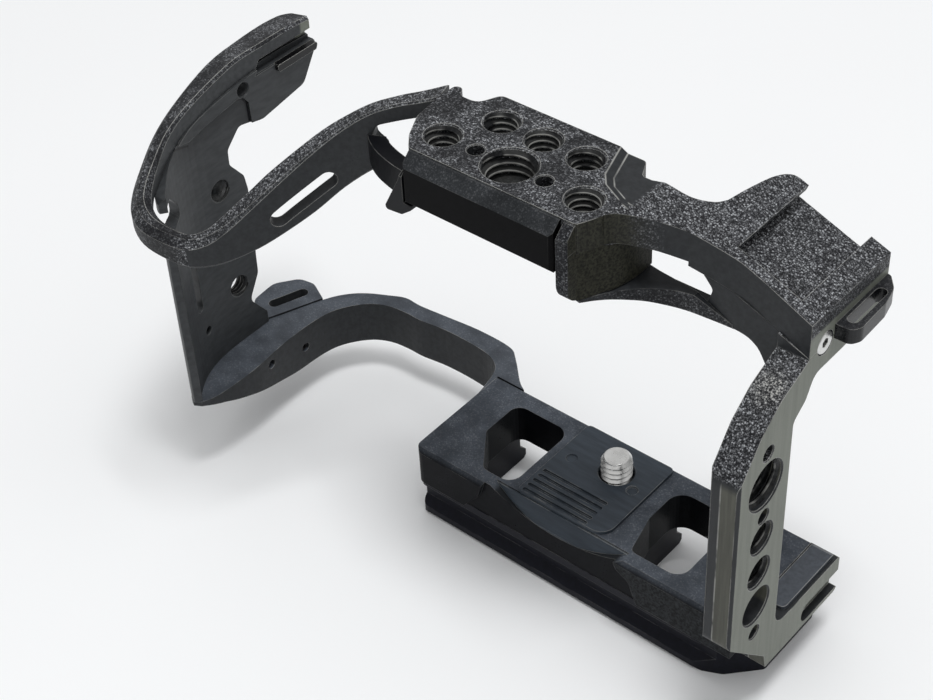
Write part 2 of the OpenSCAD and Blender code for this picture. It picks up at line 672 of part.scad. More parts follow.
// A solid skinned over a row of rings.
module loft(rings) {
    m = len(rings[0]);
    n = len(rings);
    polyhedron(
        points = [for (r = rings) each r],
        faces = concat(
            [[for (j = [m - 1:-1:0]) j]],
            [
                for (i = [0:n - 2], j = [0:m - 1])
                    [i * m + j, i * m + (j + 1) % m, (i + 1) * m + (j + 1) % m, (i + 1) * m + j]
            ],
            [[for (j = [0:m - 1]) (n - 1) * m + j]]
        )
    );
}
module grip_ribbon(first, last) { loft([for (i = [first:last]) ring(i)]); }

module grip_arm() color(body_colour) difference() {
    grip_ribbon(0, grip_split);
    // The long slot through the web.
    translate([spread(-51.9), -26, 59.6 + lift]) rotate([0, 0, 54]) along_y(-8, 16)
        slot_2d([-4.9, -3.4], [4.7, 2.9], 1.8);
    // Beside the hump only the upper bar of the arm goes on.
    translate([spread(-42), -15.4, lift]) rotate([0, 0, 25]) along_y(-8, 16) polygon(rounded([
        [0.8, 55, 0], [0.8, 68.9, 0.8], [-1.5, 71.3, 1.6], [-0.2, 74, 1.6], [14, 79.3, 0], [14, 55, 0]
    ]));
}
// The strut that carries the arm's web on under the hump.
strut_line = spline([[-44, -14.2], [-41, -16.6], [-37.5, -18.2], [-32, -19.4], [-25.4, -19.6]]);

module hump_strut() color(body_colour) {
    upright(66.2 + lift, 5.7) difference() {
        polygon(spread_all(band(beside(strut_line, 1.6), beside(strut_line, -1.6))));
        // The strut stops at the face of the arm.
        polygon(spread_all([[-48.6, -18.75], [-33.1, -11.15], [-37.5, -2], [-53, -9.5]]));
    }
    upright(71.5 + lift, top_bottom - 71.5 - lift) polygon(rounded([
        [-28.4, -22.6, 1.5], [-24.6, -22.6, 0.5], [-24.6, -17.4, 0.5], [-28.4, -17.4, 1.5]
    ]));
}

module grip_band() color(body_colour) difference() {
    grip_ribbon(grip_split, len(grip_line) - 1);
    rail_groove();
    // The rear end is rounded in plan.
    upright(50 + lift, 30) difference() {
        translate([spread(-98), 10.8]) square([98 - 92.2, 6]);
        translate([spread(-92.2), 10.8]) circle(3.4);
    }
}
// The undercut above the rail.
module rail_groove() {
    along_x(-grip_x - 1.8, 10) polygon([
        [-3, 60.2 + lift], [20, 60.2 + lift], [20, 63 + lift], [-1, 63 + lift]
    ]);
}

wall_inner = spline([
    [-88, 14.2], [-88, 2], [-88, -9], [-87.7, -21], [-85.9, -28.2], [-82.9, -33.2],
    [-80.8, -35]
]);
// The wall thins towards the column at its front.
wall_outer = [
    for (i = [0:len(wall_inner) - 1])
        beside(wall_inner, -wall_t * (1 - 0.55 * pow(i / (len(wall_inner) - 1), 2)))[i]
];
// The wall's upper edge follows the underside of the band.
wall_top = [
    for (i = [grip_split + 14:len(grip_line) - 1])
        let (q = grip_line[i], y = q[1] - heading(i).x * q[6])
        if (y > -33 && y < 13.8) [y, q[4] + lift]
];
wall_profile = concat(
    flip(wall_top),
    rounded([
        [-35.4, 52 + lift, 0], [-38, 48.9 + lift, 0.5], [-31.8, 48.9 + lift, 0.6],
        [-28.7, 44.8 + lift, 1.5], [-28.7, 41.4 + lift, 1.2], [-32.6, 41.4 + lift, 1],
        [-34.6, 43.8 + lift, 0.8], [-38.2, 43.8 + lift, 0], [-38.2, 0, 0], [-8.2, 0, 0],
        [-8.2, 3, 1], [-12.4, 8.7, 2], [-9.2, 14.3, 2.5], [-8.6, 36 + lift, 5],
        [-9.2, 39.6 + lift, 2], [-12.5, 44 + lift, 1.5], [-12.4, 47.6 + lift, 1.5],
        [-8.6, 51.3 + lift, 1.5], [-2.4, 49.9 + lift, 3], [9.8, 52 + lift, 2],
        [14, 58.6 + lift, 1], [14.2, 60.8 + lift, 0]
    ])
);

module grip_wall() color(smooth_colour) difference() {
    intersection() {
        upright(-1, reach) polygon(spread_all(band(wall_inner, wall_outer)));
        along_x(-140, 100) polygon(wall_profile);
    }
    rail_groove();
    for (p = [[-15.9, 39.6 + lift], [-14.8, 14.2]])
        translate([0.2 - grip_x, p.x, p.y]) rotate([0, 90, 0]) through(wall_hole_r, wall_t + 0.4);
    translate([-grip_x, -6.6, 59 + lift]) rotate([0, 90, 0]) through(pin_r, wall_t, 0.2);
    along_x(-140, 100) slot_2d([-27.2, 17], [-27.2, 35 + lift], 1);
    translate([spread(-87), -25.7, 9.9]) rotate([0, 90, 0]) cylinder(r = 1, h = 4, center = true);
}
module wall_rail() color(body_colour) along_x(-grip_x, 1.5) polygon(rounded([
    [2.6, 58.7 + lift, 0.4], [13.4, 58.7 + lift, 0.4], [14, 60.3 + lift, 0.5], [2.4, 60.3 + lift, 0.5]
]));

// ---- Bottom arm ----

bottom_outer = spline([
    [-30, base_rear], [-32.4, 9.8], [-37.6, 14.8], [-41, 16.9], [-49.5, 17.2],
    [-58, 16.4], [-65.1, 15.7], [-69.4, 15.8], [-73.2, 14.1], [-77.4, 11.8],
    [-80.6, 9], [-83.6, 4.3], [-88.6, -7.8], [-91.4, -10], [-90.6, -21.4],
    [-88, -29.4], [-84.4, -34.8], [-82.2, -36.4]
], 4);
bottom_inner = spline([
    [-80.8, -35.4], [-79.5, -31.5], [-79.2, -22], [-80.1, -13], [-80.3, -5],
    [-79.6, 1.4], [-77.7, 5.7], [-74.5, 9.4], [-70.6, 11.4], [-66, 12],
    [-61.9, 12], [-55.5, 12.8], [-48, 12.8], [-42.2, 12], [-38.8, 9.4],
    [-37.4, 4.4], [-36.9, 1.6]
], 4);

// Where the arm's set screws sit, as depth and height.
set_screw_r = 1;
set_screws = [[-16, -2.6], [-5.4, -5.4]];

module bottom_arm() color(body_colour) difference() {
    intersection() {
        upright(-arm_h, arm_h) difference() {
            polygon(spread_all(concat(bottom_outer, bottom_inner)));
            translate([-36.9, -50]) square([100, 50 + base_rear]);
        }
        along_x(-140, 120) polygon(concat(
            spline([
                [-39, -0.9], [-35.3, -1.2], [-30.5, -2.8], [-26.3, -4.7], [-17.5, -8],
                [-9.3, -10.1], [-4, -arm_h]
            ]),
            [[30, -arm_h], [30, 0], [-39, 0]]
        ));
    }
    for (p = set_screws)
        translate([spread(-84.6), p.x, p.y]) rotate([0, 90, 0]) cylinder(r = set_screw_r + 0.05, h = 8);
}
module left_strap_lug() color(body_colour) upright(-3, 3.4) difference() {
    polygon(spread_all(rounded([
        [-83.7, 4.3, 0], [-88.7, 6.8, 2.5], [-92.4, 6.2, 3], [-96, 1.4, 3.5],
        [-95.4, -6.2, 3], [-88.6, -7.8, 0]
    ])));
    slot_2d([spread(-91), -3.4], [spread(-88.6), 3], 1.25);
}
// A set screw in the inner face of the bottom arm.
module arm_set_screw(p) {
    color(dark_screw_colour) translate([spread(-84.6), p.x, p.y]) rotate([0, 90, 0]) difference() {
        rotate_extrude() polygon([
            [0, 0], [set_screw_r - 0.3, 0], [set_screw_r, 0.3], [set_screw_r, 3.6],
            [set_screw_r - 0.2, 3.8], [0, 3.8]
        ]);
        translate([0, 0, 2.4]) cylinder(r = set_screw_r * 0.55, h = 3, $fn = 6);
    }
}
module arm_set_screw_front() { arm_set_screw(set_screws[0]); }
module arm_set_screw_rear() { arm_set_screw(set_screws[1]); }

seated() base_plate();
seated() quick_release_foot();
seated() foot_screw_front_left();
seated() foot_screw_front_right();
seated() foot_screw_rear_left();
seated() foot_screw_rear_right();
seated() seat_pad();
seated() camera_screw();
seated() screw_retainer();
seated() side_plate();
seated() end_pad();
seated() shoulder_arm();
seated() shoulder_web();
seated() shoulder_ledge();
seated() cold_shoe();
seated() right_strap_lug();
seated() lug_screw();
seated() top_plate();
seated() front_panel();
seated() panel_foot();
seated() hump_block();
seated() hump_strut();
seated() grip_arm();
seated() grip_band();
seated() grip_wall();
seated() wall_rail();
seated() bottom_arm();
seated() left_strap_lug();
seated() arm_set_screw_front();
seated() arm_set_screw_rear();
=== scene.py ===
"""Finishes, screw threads and a studio for the machined camera cage.

Lengths are in metres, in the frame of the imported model, and outlines are in millimetres.
"""

import json
from dataclasses import dataclass
from functools import reduce
from math import cos, radians, sin, tau
from operator import and_, mul, or_

import bmesh
import bpy
from mathutils import Euler, Matrix, Vector


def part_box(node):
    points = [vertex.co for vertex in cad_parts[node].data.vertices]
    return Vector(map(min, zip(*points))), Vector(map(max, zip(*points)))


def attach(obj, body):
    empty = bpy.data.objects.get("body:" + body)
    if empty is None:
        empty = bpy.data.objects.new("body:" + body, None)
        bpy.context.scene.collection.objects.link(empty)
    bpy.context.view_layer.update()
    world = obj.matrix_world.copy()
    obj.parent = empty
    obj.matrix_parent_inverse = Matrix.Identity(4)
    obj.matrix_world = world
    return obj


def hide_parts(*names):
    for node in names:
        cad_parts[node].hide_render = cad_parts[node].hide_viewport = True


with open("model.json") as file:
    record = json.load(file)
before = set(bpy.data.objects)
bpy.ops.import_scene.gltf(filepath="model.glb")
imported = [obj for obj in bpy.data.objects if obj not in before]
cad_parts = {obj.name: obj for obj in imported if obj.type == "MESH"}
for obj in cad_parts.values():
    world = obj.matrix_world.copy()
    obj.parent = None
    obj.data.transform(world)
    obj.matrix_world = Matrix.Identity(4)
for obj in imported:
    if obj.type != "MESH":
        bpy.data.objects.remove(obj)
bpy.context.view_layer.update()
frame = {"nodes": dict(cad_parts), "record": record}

bl_info = {
    "name": "Camera cage finish",
    "version": (1, 0, 0),
    "blender": (4, 5, 0),
    "location": "View3D > Sidebar > Cage",
    "description": "Finishes, screw threads and a studio for a machined camera cage",
    "category": "Object",
}

MM = 0.001
UP, DOWN = (0, 0, 1), (0, 0, -1)
FRONT, REAR = (0, -1, 0), (0, 1, 0)
RIGHT, LEFT = (1, 0, 0), (-1, 0, 0)


# ---- Settings ----


def colour(name, description, default):
    return bpy.props.FloatVectorProperty(
        name=name, description=description, default=default,
        subtype="COLOR", size=3, min=0, max=1,
    )


def length(name, description, default):
    return bpy.props.FloatProperty(
        name=name, description=description, default=default,
        unit="LENGTH", precision=5, min=0,
    )


def share(name, description, default, top=1):
    return bpy.props.FloatProperty(
        name=name, description=description, default=default,
        subtype="FACTOR", min=0, max=top,
    )


class CageFinishSettings(bpy.types.PropertyGroup):
    """Colours and grain of the anodised body and its screws."""

    blasted: colour("Blasted", "Coarse blasted aluminium, anodised black", (0.0085, 0.0090, 0.0110))
    speck: colour("Speck", "Bright grains in the blasted skin", (0.440, 0.455, 0.480))
    milled: colour("Milled", "Smooth milled faces, anodised dark", (0.0235, 0.0255, 0.0280))
    deep: colour("Deep", "The darkest milled faces, low on the base", (0.0048, 0.0052, 0.0068))
    wall: colour("Wall", "The smooth inner side of the grip", (0.0400, 0.0430, 0.0460))
    pale: colour("Pale milled", "The paler outer face of the side plate", (0.175, 0.187, 0.160))
    olive: colour("Rough cast", "The rough right side of the hump", (0.026, 0.026, 0.018))
    strip: colour("Strip", "The rounded front edge of the side plate", (0.075, 0.076, 0.062))
    slate: colour("Slate", "The finer skin on the base and bottom arm", (0.0540, 0.0620, 0.0750))
    foot: colour("Foot", "The quick release foot", (0.0056, 0.0062, 0.0110))
    panel: colour("Panel", "The smooth panel across the hump's front", (0.0035, 0.0035, 0.0040))
    pad: colour("Seat pad", "The satin insert that the camera stands on", (0.0350, 0.0440, 0.0560))
    worn: colour("Worn edge", "Bare metal that shows at the edges", (0.42, 0.42, 0.40))
    steel: colour("Steel", "Turned stainless steel", (0.66, 0.66, 0.65))
    black_steel: colour("Black steel", "Black oxide on the small screws", (0.020, 0.020, 0.022))
    speck_size: length("Speck size", "Distance between grains", 0.00036)
    edge_radius: length("Edge radius", "Radius of the softened edges", 0.00025)


class CageThreadSettings(bpy.types.PropertyGroup):
    """Thread sizes of the mounting holes and the camera screw."""

    quarter_pitch: length("Quarter inch pitch", "Twenty threads to the inch", 0.00127)
    three_eighths_pitch: length("Three eighths pitch", "Sixteen threads to the inch", 0.0015875)
    wall_pitch: length("Wall pitch", "Pitch in the small holes of the grip wall", 0.0008)
    depth: share("Thread depth", "Thread height as a share of the pitch", 0.45)


class CageStudioSettings(bpy.types.PropertyGroup):
    """Floor, light and camera."""

    floor: colour("Floor", "Pale floor", (0.91, 0.92, 0.93))
    key: bpy.props.FloatProperty(
        name="Key", description="Power of the lamp above", default=4.2, unit="POWER", min=0,
    )
    key_size: length("Key size", "Width of the lamp above", 0.24)
    sky: share("Sky", "Strength of the soft light from the sides", 0.16, 2)
    overhead: share("Overhead", "How much stronger the soft light is from above", 0.78, 2)


# ---- Shader maths ----


# Outputs that go by number, of the nodes Texture Coordinate, Vector Math, Geometry and Mix.
# A Mix node's inputs do too: 0 is its factor, 4 and 5 are vectors, and 6 and 7 are colours.
OBJECT_PLACE, NUMBER, SURFACE_NORMAL, MIXED_VECTOR, MIXED_COLOUR = 3, 1, 1, 1, 2


class Value:
    """A socket of a material. Its operators add Math nodes."""

    def __init__(self, sheet, socket):
        self.sheet = sheet
        self.socket = socket

    def math(self, operation, *operands):
        return self.sheet.node(
            "ShaderNodeMath", {"operation": operation}, dict(enumerate(operands))
        )

    def __add__(self, other):
        return self.math("ADD", self, other)

    def __radd__(self, other):
        return self.math("ADD", other, self)

    def __sub__(self, other):
        return self.math("SUBTRACT", self, other)

    def __rsub__(self, other):
        return self.math("SUBTRACT", other, self)

    def __mul__(self, other):
        return self.math("MULTIPLY", self, other)

    def __rmul__(self, other):
        return self.math("MULTIPLY", other, self)

    def __or__(self, other):
        """The larger of two values."""
        return self.math("MAXIMUM", self, other)

    def __and__(self, other):
        """The smaller of two values."""
        return self.math("MINIMUM", self, other)

    def __abs__(self):
        return self.math("ABSOLUTE", self)

    def between(self, low, high):
        """0 below low, 1 above high and smooth in between. It falls where low is the larger."""
        return self.sheet.node(
            "ShaderNodeMapRange", {"interpolation_type": "SMOOTHSTEP"},
            {"Value": self, "From Min": low, "From Max": high},
        )

    def near(self, target, reach):
        """1 where the value is close to its target, fading to 0 at the reach."""
        return abs(self - target).between(reach, reach * 0.3)

    def other(self, name):
        """Another output of the same node."""
        return Value(self.sheet, self.socket.node.outputs[name])


class Sheet:
    """The nodes of one material or world."""

    def __init__(self, tree):
        self.tree = tree
        self.tree.nodes.clear()

    def node(self, kind, settings=None, sockets=None, output=0):
        """Adds a node, sets it up, then fills its sockets with values or links."""
        made = self.tree.nodes.new(kind)
        for name, value in (settings or {}).items():
            setattr(made, name, value)
        for name, value in (sockets or {}).items():
            if isinstance(value, Value):
                self.tree.links.new(value.socket, made.inputs[name])
            else:
                made.inputs[name].default_value = value
        return Value(self, made.outputs[output] if made.outputs else None)

    def place_on_object(self):
        """Where a point is, in the model's own frame."""
        return self.node("ShaderNodeTexCoord", None, None, OBJECT_PLACE)

    def mix(self, factor, first, second):
        """Colour first where factor is 0 and second where it is 1."""
        return self.node(
            "ShaderNodeMix", {"data_type": "RGBA"}, {0: factor, 6: first, 7: second}, MIXED_COLOUR
        )

    def tones(self, amount, values, low, high, spread=0.25):
        """A colour that wanders between a darker and a brighter tone of itself."""
        return self.mix(
            amount.between(spread, 1 - spread),
            rgba(c * low for c in values), rgba(min(1, c * high) for c in values),
        )

    def vector(self, operation, first, second, output=0):
        return self.node(
            "ShaderNodeVectorMath", {"operation": operation}, {0: first, 1: second}, output
        )

    def along(self, first, second):
        """How far one vector reaches along another."""
        return self.vector("DOT_PRODUCT", first, second, NUMBER)

    def scaled(self, place, factors):
        return self.vector("MULTIPLY", place, factors)

    def noise(self, place, scale, detail=2, roughness=0.55):
        return self.node(
            "ShaderNodeTexNoise", None,
            {"Vector": place, "Scale": scale, "Detail": detail, "Roughness": roughness},
        )

    def bevel(self, radius, samples=6):
        """The surface's direction, turned at edges as if they were rounded."""
        return self.node("ShaderNodeBevel", {"samples": samples}, {"Radius": radius})

    def surface_normal(self):
        return self.node("ShaderNodeNewGeometry", None, None, SURFACE_NORMAL)

    def bump(self, height, strength, distance, normal):
        return self.node(
            "ShaderNodeBump", None,
            {"Height": height, "Strength": strength, "Distance": distance, "Normal": normal},
        )

    def shade(self, sockets):
        """Ends a material with a Principled shader."""
        shader = self.node("ShaderNodeBsdfPrincipled", None, sockets)
        self.node("ShaderNodeOutputMaterial", None, {"Surface": shader})


def rgba(values):
    """A solid colour, as a socket takes it."""
    return (*values, 1)


def new_sheet(name, kind=Sheet, *given):
    """A new material and the sheet of its nodes."""
    material = bpy.data.materials.new(name)
    material.use_nodes = True
    return material, kind(material.node_tree, *given)


# ---- The body's finishes ----


@dataclass
class Look:
    """What one group of nodes looks like. Lengths are in metres."""

    nodes: list
    # The settings' colours of the milled faces, the skin and the coarse patch.
    milled: str = "milled"
    skin: str = "blasted"
    coarse: str = "olive"
    # The directions that the skin faces, and how squarely, from none of it to all of it.
    blasted: tuple = ()
    low: float = 0.35
    high: float = 0.6
    # Directions, each with how far along it the skin begins.
    limits: tuple = ()
    # How much the skin's grains show, and how far they gather in clouds.
    specks: float = 0.5
    cloud: float = 0.5
    # The directions that the paler faces look along, and where they begin.
    pale: tuple = ()
    pale_limits: tuple = ()
    # The left, right and rear limits of a coarse patch.
    patch: tuple = ()
    # Whether the top has the smooth facet, and whether the side's shallow recess takes painted
    # shade.
    facet: bool = False
    painted_recess_shade: bool = False
    # How far along X the rounded strip begins, and the middle of a spot of painted highlight, drawn
    # as bright worn grains.
    strip: float = 0
    glint_and_wear: tuple = ()
    # How bright the edges are worn, and how much of them is spared.
    wear: float = 0.5
    spared: float = 0.36
    # How dense the milling marks are along each axis, and how deep the fine grit is.
    streaks: tuple = (1, 1, 1)
    grit: float = 0.4
    # The shader's roughness and its specular level.
    roughness: float = 0.46
    gloss: float = 0.3
    # How much of the settings' milled colour is mixed into faces that don't look forward.
    inner: float = 0
    # The planes at which the nodes meet others of the same casting.
    seams: tuple = ()


# The hump's right side, which stays rough: its left, right and rear limits.
ROUGH_SIDE = (8.6 * MM, 19 * MM, 30 * MM)
# The right end of the base's front face, which stays rough too.
ROUGH_END = (10 * MM, 60 * MM, -17.9 * MM)
# The planes at which nodes of the one machined body meet.
HUMP_SEAM = (RIGHT, 12.4 * MM)
SHOE_SEAM = (RIGHT, 22.8 * MM)
PLATE_SEAM = (UP, 75.4 * MM)
GRIP_SEAM = (RIGHT, -30.8 * MM)
BAND_SEAM = ((0.914, 0.406, 0), -77.5 * MM)
# The top of the grip's arm, above its long slot.
ARM_TOP = (((-1.31, 0, 1), 132.3 * MM), (UP, 74.5 * MM))
# The upper edge of the grip wall's shallow recess, along Y and Z in millimetres, and the number
# of its point where two sweeps of the cutter meet.
RECESS_EDGE = [
    (-36, 59.6), (-30, 57.1), (-26, 55.9), (-22.3, 54.7), (-8.6, 56.9), (-6.9, 56.5),
    (-5.6, 54.8), (-5.3, 48),
]
SWEEPS_MEET = 3
# The planes at which the base, the bottom arm and its strap lug meet.
BASE_SEAMS = ((REAR, 8.2 * MM), ((0.927, -0.3755, 0), -79.22 * MM))

LOOKS = {
    "top_plate": Look(
        ["top_plate"], blasted=(UP, FRONT, REAR, LEFT), specks=0.95, cloud=0.7, wear=1,
        patch=ROUGH_SIDE, facet=True, spared=0.26, gloss=0.2,
        seams=(HUMP_SEAM, GRIP_SEAM, PLATE_SEAM),
    ),
    "shoulder": Look(
        ["shoulder_arm", "cold_shoe"], blasted=(UP, RIGHT), low=0.5, high=0.75, specks=1,
        cloud=0.1, pale=(RIGHT,), pale_limits=((DOWN, -65.5 * MM),), wear=0.9,
        patch=ROUGH_SIDE, facet=True, seams=(HUMP_SEAM, SHOE_SEAM), gloss=0.2,
    ),
    "strap_lug": Look(
        ["right_strap_lug"], milled="deep", blasted=(UP,), specks=0.15, wear=0.8,
        roughness=0.3,
    ),
    "side_plate": Look(
        ["side_plate"], blasted=(UP,), low=0.25, high=0.45, limits=((UP, 46 * MM),),
        specks=1, cloud=0.1, pale=(RIGHT,), strip=42.1 * MM,
        # The middle of a spot of painted highlight on the bend of the front.
        glint_and_wear=(42.5 * MM, -17 * MM, 57.8 * MM), wear=1.4, spared=0.3,
        streaks=(1, 1, 0.06), gloss=0.2,
    ),
    "web": Look(
        ["shoulder_web"], blasted=(DOWN, LEFT), specks=0.5, wear=0.3, gloss=0.2,
        seams=(SHOE_SEAM,),
    ),
    "ledge": Look(["shoulder_ledge"], blasted=(FRONT, DOWN), specks=0.4, wear=0.5, gloss=0.2),
    "strut": Look(
        ["hump_strut", "panel_foot"], milled="deep", wear=0.6, roughness=0.4, gloss=0.15,
    ),
    "arm": Look(
        ["grip_arm"], blasted=(UP,), low=0.5, high=0.75, limits=ARM_TOP, specks=1,
        cloud=0.4, wear=1, spared=0.2, roughness=0.42, gloss=0.2,
        seams=(GRIP_SEAM, BAND_SEAM),
    ),
    "band": Look(
        ["grip_band"], milled="wall", blasted=(UP, LEFT, FRONT), low=0.3, high=0.5,
        specks=0.7, cloud=0.8, pale=(RIGHT,), pale_limits=((REAR, 11 * MM),), wear=1,
        spared=0.2, roughness=0.42, gloss=0.2, seams=(BAND_SEAM,),
    ),
    # The grip wall takes painted shade in its recess.
    "wall": Look(
        ["grip_wall"], milled="wall", wear=0.35, roughness=0.42, streaks=(1, 0.3, 1),
        painted_recess_shade=True, grit=0.15, gloss=0.2,
    ),
    "rail": Look(
        ["wall_rail"], milled="panel", wear=1, spared=0.1, roughness=0.3, grit=0.1,
    ),
    "base": Look(
        ["base_plate"], milled="deep", skin="slate", blasted=(UP,), low=0.6, high=0.8,
        limits=((UP, -1.4 * MM),), patch=ROUGH_END, coarse="milled", inner=0.7,
        specks=0.22, cloud=0.6, wear=0.3, roughness=0.38, gloss=0.05, seams=BASE_SEAMS,
    ),
    "bottom_arm": Look(
        ["bottom_arm", "left_strap_lug"], skin="slate", blasted=(UP,), low=0.6, high=0.8,
        specks=0.15, cloud=0.7, wear=0.6, gloss=0.2, seams=BASE_SEAMS,
    ),
    "foot": Look(
        ["quick_release_foot"], milled="foot", wear=0.3, roughness=0.36, grit=0.2, gloss=0.12,
    ),
    "panel": Look(
        ["front_panel"], milled="panel", skin="milled", blasted=(UP,), low=0.2, high=0.4,
        specks=0.15, wear=0.2, roughness=0.4, grit=0.1, gloss=0.04,
    ),
    "pad": Look(
        ["seat_pad"], milled="pad", wear=0.55, roughness=0.42, streaks=(0.12, 1, 1), grit=0.35,
        gloss=0.2,
    ),
    "end_pad": Look(
        ["end_pad"], milled="slate", wear=1, spared=0.2, roughness=0.42, grit=0.5,
    ),
    "hump": Look(
        ["hump_block"], milled="olive", blasted=(UP, LEFT, (0, -0.9, -0.4)), low=0.45,
        high=0.62, specks=0.4, wear=0.5, roughness=0.62, grit=1, gloss=0.15,
        seams=(PLATE_SEAM,),
    ),
}

# The smooth facet's edges in plan, in millimetres, its end along X and its chamfer's width.
FACET = [(4.2, -2), (4.9, -4.6), (7.1, -11.3), (8.6, -13.1), (13.2, -15.4), (20, -15.4)]
FACET_END = 13.3 * MM
FACET_RIM = 1.4 * MM
# Half the width of a bright line drawn along an edge, and half the blur of a sharp border.
LINE = 0.1 * MM
# Half the blur of a soft border, and how far the coarse patch fades out on its right.
BLUR = 0.4 * MM
PATCH_FADE = 5 * MM
# How near a seam no edge is drawn.
SEAM_REACH = 0.8 * MM
# The height above which the rounded strip is gone, and the one below which it is whole.
STRIP_TOP = (46 * MM, 44 * MM)
# How far from its middle the spot of painted highlight ends, and how far its brightest part
# reaches.
PAINTED_GLINT_SPOT = (4.5 * MM, MM)
# How far from its edge the painted shade in the recess ends, and how far it is at its darkest. A
# painted shadow line runs just inside the edge.
RECESS_FADE = (6 * MM, 0.5 * MM)
RECESS_LINE, RECESS_LINE_REACH = 0.25 * MM, 0.45 * MM
# How many times to the metre the patterns repeat.
PATCHES, STREAKS, MOTTLE, SMUDGES = 160, 900, 2100, 55
# How squarely a face looks along a direction to count as facing it.
SQUARE = (0.8, 0.95)
# The share of the edges' radius that is worn, and how far the surface's direction turns there,
# as 1 less its cosine, where the wear begins and where it is full.
WORN_SHARE, WORN_TURN = 0.9, (0.012, 0.07)
# How softly the spared parts of the edges give way to worn ones.
SPARED_BLUR = 0.24
# The size of the fine grains between the coarse ones, and how bright they are against them.
FINE_SIZE, FINE_BRIGHTNESS = 0.55, 0.5
# How deep the relief of the skin and the grit is, and how much of it the shader shows.
RELIEF, RELIEF_SHOWN = 0.12 * MM, 0.6


